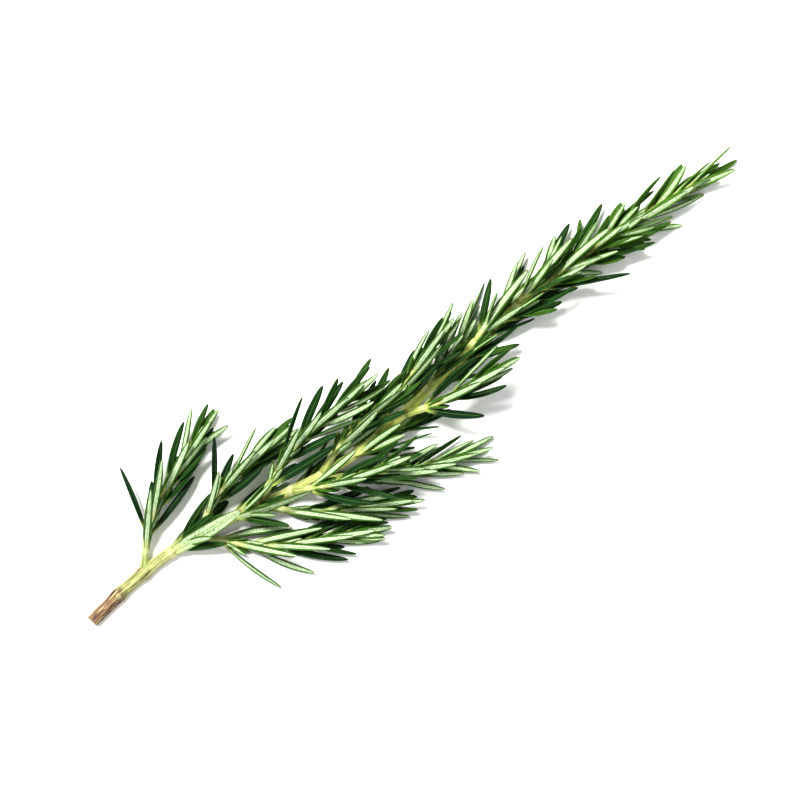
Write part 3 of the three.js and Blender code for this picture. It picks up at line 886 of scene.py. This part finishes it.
def add_tuft(joint, turn, size, young):
    tuft = {"lean": TUFT_LEAN, "settle": TUFT_SETTLE, "length": TUFT_LENGTH * size}
    line = shoot_line(joint, turn, tuft, TUFT_RADIUS, TUFT_TIP_RADIUS, TUFT_FLOOR)
    beads = tuft_beads(line, 0)
    if own_clashes(beads) is None:
        return
    place_beads(beads)
    tuft_lines.append(line)
    for k, share in enumerate(TUFT_PAIRS_AT):
        at = shoot_joint(line, line.length * share)
        for side in (0, 180):
            add_leaf(at, {
                "turn": turn + 90 * (k + 1) + side,
                "spread": 21 - 5 * k,
                "bend": -4,
                "length": TUFT_LEAF_LENGTH * (1 - 0.22 * k) * size,
                "width": TUFT_LEAF_WIDTH * (0.5 + 0.5 * size),
                "young": min(1, 0.35 + 0.2 * k + 0.6 * young),
            }, 0, "tuft")


place_beads(stem_beads([main_joint(s) for s in range(STEM_LENGTH + 1)], 0))
for number, line in enumerate(side_lines, 1):
    clear_part = range(KEEP_APART_FROM, line.length + 1)
    place_beads(stem_beads([shoot_joint(line, s) for s in clear_part], number))

for index, node in enumerate(NODES):
    if index < LEAFLESS_NODES:
        continue
    old = ease((OLD_UNTIL - node.s) / (OLD_UNTIL - WOODY_LENGTH))
    young = ease((node.s - YOUNG_FROM) / (STEM_LENGTH - YOUNG_FROM))
    joint = main_joint(node.s)
    for side in (0, 180):
        add_leaf(joint, {
            "turn": node.turn + side,
            "spread": 28 - 13 * young,
            "bend": -7 + 4 * young,
            "length": LEAF_LENGTH * (1 - 0.38 * young ** 2),
            "width": LEAF_WIDTH * (1 + 0.5 * old - 0.14 * young),
            "young": young,
            "old": old,
        }, 0, "main")
    for side in (0, 180):
        taken = any(shoot["node"] == index and shoot["side"] == side for shoot in SIDE_SHOOTS)
        if node.s < LAST_TUFTED and not taken:
            add_tuft(joint, node.turn + side, 1 - 0.4 * young, young)

for number, line in enumerate(side_lines, 1):
    first_turn = 90 * (number % 2)
    for pair, s in enumerate(shoot_leaf_places(line)):
        young = s / line.length
        for side in (0, 180):
            add_leaf(shoot_joint(line, s), {
                "turn": first_turn + 90 * pair + side,
                "spread": 29 - 14 * young,
                "bend": -7,
                "length": SHOOT_LEAF_LENGTH * (1 - 0.38 * young ** 2),
                "width": SHOOT_LEAF_WIDTH * (1 - 0.22 * young),
                "young": 0.15 + 0.5 * young ** 2,
            }, number, number)


# The youngest leaves come last: up to three small pairs in the heart of every tuft and at the tip of every
# shoot, and up to two small leaves in each axil of the side shoots' leaves.

HEART_LEAF_LENGTH = 9.0
HEART_LEAF_WIDTH = 1.7
HEART_SIZES = (1.0, 0.68, 0.42)  # the sizes of a heart's pairs, from the outside in
HEART_FROM = 0.96  # the first pair's place, as a share of the shoot's length
HEART_RISE = 0.015  # and how much further on the next one stands
MAIN_TIP_LENGTH = 11.5
MAIN_TIP_ENDS_BEFORE = 0.5
AXIL_LEAF_LENGTH = 8.5
AXIL_LEAF_WIDTH = 1.6
AXIL_ASIDE = 38  # degrees about the shoot to either side of the leaf whose axil it is
AXILS_UNTIL = 0.75
SMALL_TURNS_TRIED = (0, 24, -24)


def add_small_leaf(joint, wish, shoot, group):
    """A small leaf slips in between the others, and is left out where there is no room."""
    wished = leaf_like(wish)
    for turn in SMALL_TURNS_TRIED:
        leaf = {**wished, "turn": wished["turn"] + turn}
        line = leaf_line(joint, leaf)
        middle = [Bead(*step.point, shoot, False) for step in line[8::3]]
        if own_clashes(middle) == 0:
            place_beads(middle)
            leaves_of[group].append((leaf, line))
            return


def add_heart(line, turn, size, shoot, group):
    """Closes a shoot's growing tip with ever smaller pairs of leaves, nearly in line with its stem."""
    for k, share in enumerate(HEART_SIZES):
        at = shoot_joint(line, line.length * (HEART_FROM + HEART_RISE * k))
        for side in (0, 180):
            add_small_leaf(at, {
                "turn": turn + 90 * k + side,
                "spread": 11 - 3 * k,
                "bend": -6,
                "length": HEART_LEAF_LENGTH * share * size,
                "width": HEART_LEAF_WIDTH * (0.35 + 0.65 * share),
                "young": 1.0,
            }, shoot, group)


for line in tuft_lines:
    add_heart(line, turn=45, size=line.length / TUFT_LENGTH, shoot=0, group="heart")
for number, line in enumerate(side_lines, 1):
    add_heart(line, turn=30, size=1.0, shoot=number, group=number)
    first_turn = 90 * (number % 2)
    for pair, s in enumerate(shoot_leaf_places(line)):
        if s > AXILS_UNTIL * line.length:
            continue
        for side in (0, 180):
            for half_turn in (-AXIL_ASIDE, AXIL_ASIDE):
                add_small_leaf(shoot_joint(line, s + 1), {
                    "turn": first_turn + 90 * pair + side + half_turn,
                    "spread": 17,
                    "bend": -5,
                    "length": AXIL_LEAF_LENGTH * (1 - 0.3 * s / line.length),
                    "width": AXIL_LEAF_WIDTH,
                    "young": 0.85,
                }, number, number)

tip_end = STEM_LENGTH - MAIN_TIP_ENDS_BEFORE
main_tip = ShootLine(
    points=[main_point(s) for s in np.linspace(tip_end - MAIN_TIP_LENGTH, tip_end, SHOOT_STEPS + 1)],
    radius=1.0, tip_radius=TIP_RADIUS, length=MAIN_TIP_LENGTH)
add_heart(main_tip, turn=20, size=1.2, shoot=0, group="heart")


OLD_GREEN = (0.035, 0.080, 0.036)
RIB_COLOUR = (0.24, 0.36, 0.10)
FELT_LIGHT = (0.59, 0.69, 0.52)
FELT_SHADE = (0.34, 0.45, 0.28)
FELT_OLD = (0.33, 0.42, 0.22)
# dark green of the felt's pits, also laid along its grooves as partly real green and partly painted shade
FELT_PITS_AND_GROOVE_SHADE = (0.05, 0.11, 0.03)
UNDER_RIB = (0.36, 0.50, 0.17)
FOOT_COLOUR = (0.46, 0.55, 0.17)
FELT_FOOT = (0.45, 0.48, 0.22)
DRY_TIP = (0.20, 0.10, 0.03)


def leaf_finish(name, deep, fresh, new):
    """Wrinkled green skin on the upper face and margins with painted shade in the wrinkles' creases, pale
    felt below with grooves darkened partly by painted shade, and a pale foot and rib.
    """
    leaf = Shader(name)
    place = leaf.attribute("skin", "Vector")
    tone = leaf.attribute("tone")
    young = leaf.attribute("young")
    old = leaf.attribute("old")
    along = leaf.attribute("along")
    felt = leaf.attribute("felt")
    rib = leaf.attribute("rib")
    groove = leaf.attribute("groove")
    wrinkles = leaf.cells(place, 2.5, stretch=(1.25, 0.75, 1))
    pits = leaf.between(leaf.cells(place, 1.25, feature="F1"), 0.36, 0.18)
    blotches = leaf.noise(place, 0.22, detail=2)
    fleece = leaf.noise(place, 2.6, detail=5, stretch=(0.5, 1, 1))

    skin = leaf.mix(leaf.between(tone, -1, 1), deep, fresh)
    skin = leaf.coat(skin, leaf.between(blotches, 0.42, 0.68), 0.45, fresh)
    skin = leaf.coat(skin, leaf.between(young, 0.1, 1.0), 0.8, new)
    skin = leaf.coat(skin, old, 0.6, OLD_GREEN)
    # painted shade in the creases between the wrinkles
    skin = leaf.coat(skin, leaf.between(wrinkles, 0.16, 0.02), 0.5, deep)
    skin = leaf.coat(skin, leaf.attribute("margin"), 0.55, new)
    skin = leaf.coat(skin, rib, 0.75, RIB_COLOUR)

    under = leaf.mix(leaf.between(fleece, 0.38, 0.56), FELT_SHADE, FELT_LIGHT)
    under = leaf.coat(under, old, 0.55, FELT_OLD)
    pitted = leaf.math("ADD", 0.08, leaf.math("MULTIPLY", old, 0.75))
    under = leaf.coat(under, pits, pitted, FELT_PITS_AND_GROOVE_SHADE)
    # the grooves beside the rib and at the rolled margins: green showing through the felt, with painted shade
    under = leaf.coat(under, groove, 0.8, FELT_PITS_AND_GROOVE_SHADE)
    under = leaf.coat(under, rib, 0.7, UNDER_RIB)
    blade = leaf.mix(felt, skin, under)

    foot = leaf.math("MULTIPLY", leaf.between(along, 0.28, 0.03), 0.9)
    blade = leaf.mix(foot, blade, leaf.mix(felt, FOOT_COLOUR, FELT_FOOT))
    dry = leaf.math("MULTIPLY", leaf.between(along, 0.955, 0.99), leaf.between(tone, 0.1, 0.6))
    blade = leaf.coat(blade, dry, 0.7, DRY_TIP)
    leaf.feed(leaf.finish.inputs["Base Color"], blade)
    leaf.feed(leaf.finish.inputs["Roughness"], leaf.math("ADD", 0.36, leaf.math("MULTIPLY", felt, 0.5)))
    leaf.finish.inputs["Specular IOR Level"].default_value = 0.25
    bare = leaf.math("SUBTRACT", 1.0, felt)
    dimpled = leaf.math("MULTIPLY", leaf.between(wrinkles, 0.0, 0.22), leaf.math("MULTIPLY", bare, 0.7))
    leaf.bump(leaf.math("ADD", dimpled, leaf.math("MULTIPLY", fleece, 0.3)), 0.00013)
    return leaf.material


WRINKLE_SLANT = 0.9  # the fine wrinkles run aslant from the rib to the margins
PATTERN_SHIFT = 7.0  # from one leaf to the next, so that no two have the same wrinkles
BLADE_RINGS = 20
LAST_RING = 0.997
FULL_THICKNESS = 2.2  # the blade is thinner where its half width is under its full width over this
RIB_FADE = 8
MARGIN_LIP = 0.52  # where the rolled margin ends under a young leaf, as a share of half the width
OLD_LIP = 0.84  # and under a broad old leaf, which lies nearly flat
LIP_VARIES = 0.06
UNDER_DEPTH = 0.08  # this and the next four are shares of the blade's thickness
ROLL_DEPTH = 0.28
UNDER_RIB_DEPTH = 0.22
ARCH_HEIGHT = 0.48
UPPER_RIB_DEPTH = 0.2
BESIDE_RIB = 0.17  # where a groove runs along the rib underneath, as a share of half the width


def blade_section(lip):
    """Round a blade from one edge: place across, height, shares of felt, rib, groove and margin there."""
    roll = (1 + lip) / 2
    under_places = (0.0, 0.09, BESIDE_RIB, 0.3, lip - 0.12, lip - 0.03, lip + 0.03, roll, 0.5 * (1 + roll))
    upper_places = (0.0, 0.06, 0.15, 0.4, 0.7, 0.9)
    lower = [*reversed(under_places), *(-x for x in under_places[1:])]
    upper = [*(-x for x in reversed(upper_places)), *upper_places[1:]]
    section = [(1.0, 0.0, 0.0, 0.0, 0.0, 0.3)]
    for x in lower:
        out = abs(x)
        height = -UNDER_DEPTH - ROLL_DEPTH * hump((out - roll) / (1 - lip), 0, 0.42)
        height -= UNDER_RIB_DEPTH * hump(x, 0, 0.11)
        groove = max(hump(out - lip, -0.03, 0.05), 0.7 * hump(out, BESIDE_RIB, 0.06))
        section.append((x, height, float(out < lip), hump(x, 0, 0.08), groove, 1.0))
    section.append((-1.0, 0.0, 0.0, 0.0, 0.0, 0.3))
    for x in upper:
        height = ARCH_HEIGHT * math.sqrt(1 - abs(x) ** 3) - UPPER_RIB_DEPTH * hump(x, 0, 0.12)
        section.append((x, height, 0.0, hump(x, 0, 0.05), 0.0, 0.0))
    return section


def leaves_mesh(leaves):
    points, faces, values = [], [], {}
    steps_u = [i / LEAF_STEPS for i in range(LEAF_STEPS + 1)]
    for leaf, line in leaves:
        lip = MARGIN_LIP + (OLD_LIP - MARGIN_LIP) * leaf["old"] + LIP_VARIES * leaf["tone"]
        section = blade_section(lip)
        sides = len(section)
        first = len(points)
        middle = np.array([step.point for step in line])
        across = np.array([step.across for step in line])
        face = np.array([step.face for step in line])
        for ring in range(BLADE_RINGS):
            u = LAST_RING * math.sin(ring / (BLADE_RINGS - 1) * math.pi / 2)
            here = np.array([np.interp(u, steps_u, middle[:, k]) for k in range(3)])
            side = np.array([np.interp(u, steps_u, across[:, k]) for k in range(3)])
            up = np.array([np.interp(u, steps_u, face[:, k]) for k in range(3)])
            half = half_width(leaf, u)
            thick = LEAF_THICKNESS * min(1.0, math.sqrt(FULL_THICKNESS * half / leaf["width"]))
            for x, height, felt, rib, groove, margin in section:
                place = here + side * (x * half) + up * (height * thick)
                points.append((place[0], place[1], max(0.0, place[2])))
                slant = WRINKLE_SLANT * abs(x) * half
                keep_values(values, {
                    "skin": (u * leaf["length"] - slant, x * half, PATTERN_SHIFT * leaf["number"]),
                    "felt": felt,
                    "rib": rib * min(1.0, RIB_FADE * (1 - u)),
                    "groove": groove,
                    "margin": margin,
                    "along": u,
                    "tone": leaf["tone"],
                    "young": leaf["young"],
                    "old": leaf["old"],
                })
        for ring in range(BLADE_RINGS - 1):
            for k in range(sides):
                a = first + ring * sides + k
                b = first + ring * sides + (k + 1) % sides
                faces.append((a, b, b + sides, a + sides))
        faces.append(tuple(reversed(range(first, first + sides))))
        last = first + (BLADE_RINGS - 1) * sides
        faces.append(tuple(range(last, last + sides)))
    return points, faces, values


main_leaf_green = leaf_finish(
    "main_leaf_green", deep=(0.003, 0.024, 0.009), fresh=(0.016, 0.078, 0.015), new=(0.12, 0.26, 0.027))
side_leaf_green = leaf_finish(
    "side_leaf_green", deep=(0.003, 0.022, 0.010), fresh=(0.014, 0.068, 0.016), new=(0.10, 0.23, 0.027))
add_piece("main_leaves", *leaves_mesh(leaves_of["main"]), main_leaf_green, "main_leafy_shoot", "main_leaf")
add_piece("tuft_leaves", *leaves_mesh(leaves_of["tuft"]), main_leaf_green, "main_leafy_shoot", "main_leaf")
add_piece("heart_leaves", *leaves_mesh(leaves_of["heart"]), main_leaf_green, "main_leafy_shoot", "main_leaf")
for number in range(1, len(side_lines) + 1):
    add_piece(f"side_shoot_{number}_leaves", *leaves_mesh(leaves_of[number]), side_leaf_green,
              f"side_shoot_{number}", "side_leaf")


# The tufts' stems
# Short downy shoots in the leaf axils, of the same green as the side shoots. Each grows out of a joint of
# the main stem and carries two pairs of small leaves.

TUFT_SWELLING = 0.1
TUFT_FLARE = 0.2

points, faces, values = [], [], {}
for line in tuft_lines:
    tuft_stations = np.arange(0, line.length, STEM_STEP).tolist()
    more_points, more_faces, more_values = green_stem(
        [shoot_joint(line, s) for s in tuft_stations], tuft_stations, [line.length * TUFT_PAIRS_AT[0]],
        swell=TUFT_SWELLING, start_flare=TUFT_FLARE)
    faces += [tuple(k + len(points) for k in corner) for corner in more_faces]
    points += more_points
    for name, column in more_values.items():
        values.setdefault(name, []).extend(column)
add_piece("tuft_stems", points, faces, values, side_stem_green, "main_leafy_shoot", "main_leaf")


# The torn fibres of the cut end
# Short wisps of pale wood that the cut left round its rim, pointing back from it. Each is a thin spike with
# three sides, rooted in the wood.

FIBRES = 26
FIBRE_ROOT = 0.5
FIBRE_HALF = 0.07
FIBRE_TRAITS = {  # the middle of each trait, and how far a fibre may be from it
    "turn": (0, 9),
    "reach": (0.45, 0.3),
    "rim": (0.93, 0.07),
    "outward": (0.12, 0.2),
    "aside": (0, 0.25),
    "pale": (0.6, 0.3),
}
FIRST_FIBRE_TRAIT = 21  # the leaves' traits have the numbers below

points, faces, values = [], [], {}
for fibre in range(FIBRES):
    own = {}
    for number, (trait, (middle, give)) in enumerate(FIBRE_TRAITS.items(), FIRST_FIBRE_TRAIT):
        own[trait] = middle + give * draw(fibre, number)
    turn = 360 * fibre / FIBRES + own["turn"]
    x, y, z = plus(cut_joint.point, out_of(cut_joint, turn), cut_joint.radius * own["rim"])
    x += CUT_SLANT * (z / BASE_RADIUS - 1)
    aside = out_of(cut_joint, turn + 90)
    outward = out_of(cut_joint, turn)
    root = (x + FIBRE_ROOT, y, z)
    tip = plus(plus((x - own["reach"], y, z), outward, own["outward"]), aside, own["aside"])
    first = len(points)
    for corner in (plus(root, aside, FIBRE_HALF), plus(root, aside, -FIBRE_HALF),
                   plus(root, outward, FIBRE_HALF), tip):
        points.append((corner[0], corner[1], max(0.0, corner[2])))
        keep_values(values, {
            "skin": (0.0, corner[1], corner[2]),
            "furrow": 0.0,
            "greening": 0.0,
            "radial": own["pale"],
            "cut": 1.0,
            "scar": 0.0,
        })
    a, b, c, d = range(first, first + 4)
    faces += [(a, b, d), (b, c, d), (c, a, d), (a, c, b)]
add_piece("cut_fibres", points, faces, values, woody_bark, "woody_base", "bark")
